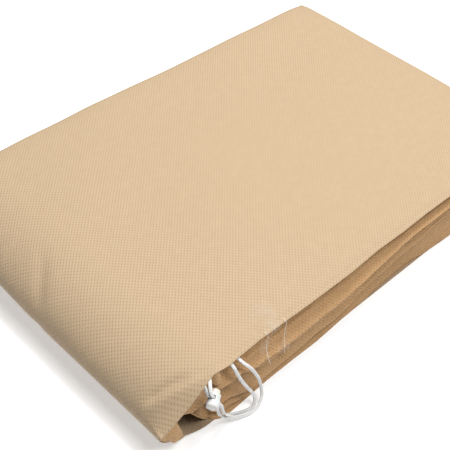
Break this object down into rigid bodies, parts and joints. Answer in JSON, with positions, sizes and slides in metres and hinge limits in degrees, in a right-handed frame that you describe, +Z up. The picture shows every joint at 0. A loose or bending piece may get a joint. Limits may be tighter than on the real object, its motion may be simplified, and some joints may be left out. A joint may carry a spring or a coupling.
{
  "type": "grill cover",
  "caption": "Folded tan nonwoven grill cover: a flat rectangular pack with one rolled end, an open layered side, a white drawcord with a cord lock and a clear film tab.",
  "frame": {"origin": "bottom centre of the folded fabric's bounding box, on the surface it lies on; the free cord and its lock aren't counted", "axes": "+X along the long side, away from the rolled end; +Y along the short side, away from the open layered side; +Z up"},
  "size_m": [0.344, 0.2309, 0.0465],
  "materials": {
    "tan_nonwoven": "matte",
    "white_braid": "matte",
    "natural_plastic": "satin",
    "spring_steel": "satin",
    "clear_film": "gloss"
  },
  "bodies": {
    "root": {"wrap_bottom_leaf": "tan_nonwoven", "hem_skirt_plies": "tan_nonwoven", "front_panel_plies": "tan_nonwoven", "left_panel_plies": "tan_nonwoven", "back_panel_plies": "tan_nonwoven", "third_leaf_plies": "tan_nonwoven", "right_panel_plies": "tan_nonwoven", "crown_panel_plies": "tan_nonwoven", "inner_fold_plies": "tan_nonwoven", "upper_fold_plies": "tan_nonwoven", "second_leaf": "tan_nonwoven", "corner_fold": "tan_nonwoven", "front_hem": "tan_nonwoven", "side_hem": "tan_nonwoven", "front_hem_cord": "white_braid", "side_hem_cord": "white_braid", "drawcord": "white_braid"},
    "top_leaf_body": {"top_leaf": "tan_nonwoven", "closure_tab": "clear_film"},
    "lock": {"cord_lock_body": "natural_plastic", "cord_lock_spring": "spring_steel"},
    "button": {"cord_lock_button": "natural_plastic"}
  },
  "joints": [
    {"name": "top_leaf_fold", "type": "hinge", "parent": "root", "child": "top_leaf_body", "pos_m": [-0.1722, 0, 0.023], "axis": [0, -1, 0], "range_deg": [0, 175]},
    {"name": "lock_slide", "type": "slide", "parent": "root", "child": "lock", "axis": [0.3795, -0.2639, -0.8867], "range_m": [0, 0.002]},
    {"name": "button_press", "type": "slide", "parent": "lock", "child": "button", "axis": [-0.8092, -0.5594, -0.1798], "range_m": [0, 0.0008], "stiffness_N_per_m": 1500, "springref_m": -0.001, "deforming": ["cord_lock_spring"]}
  ]
}
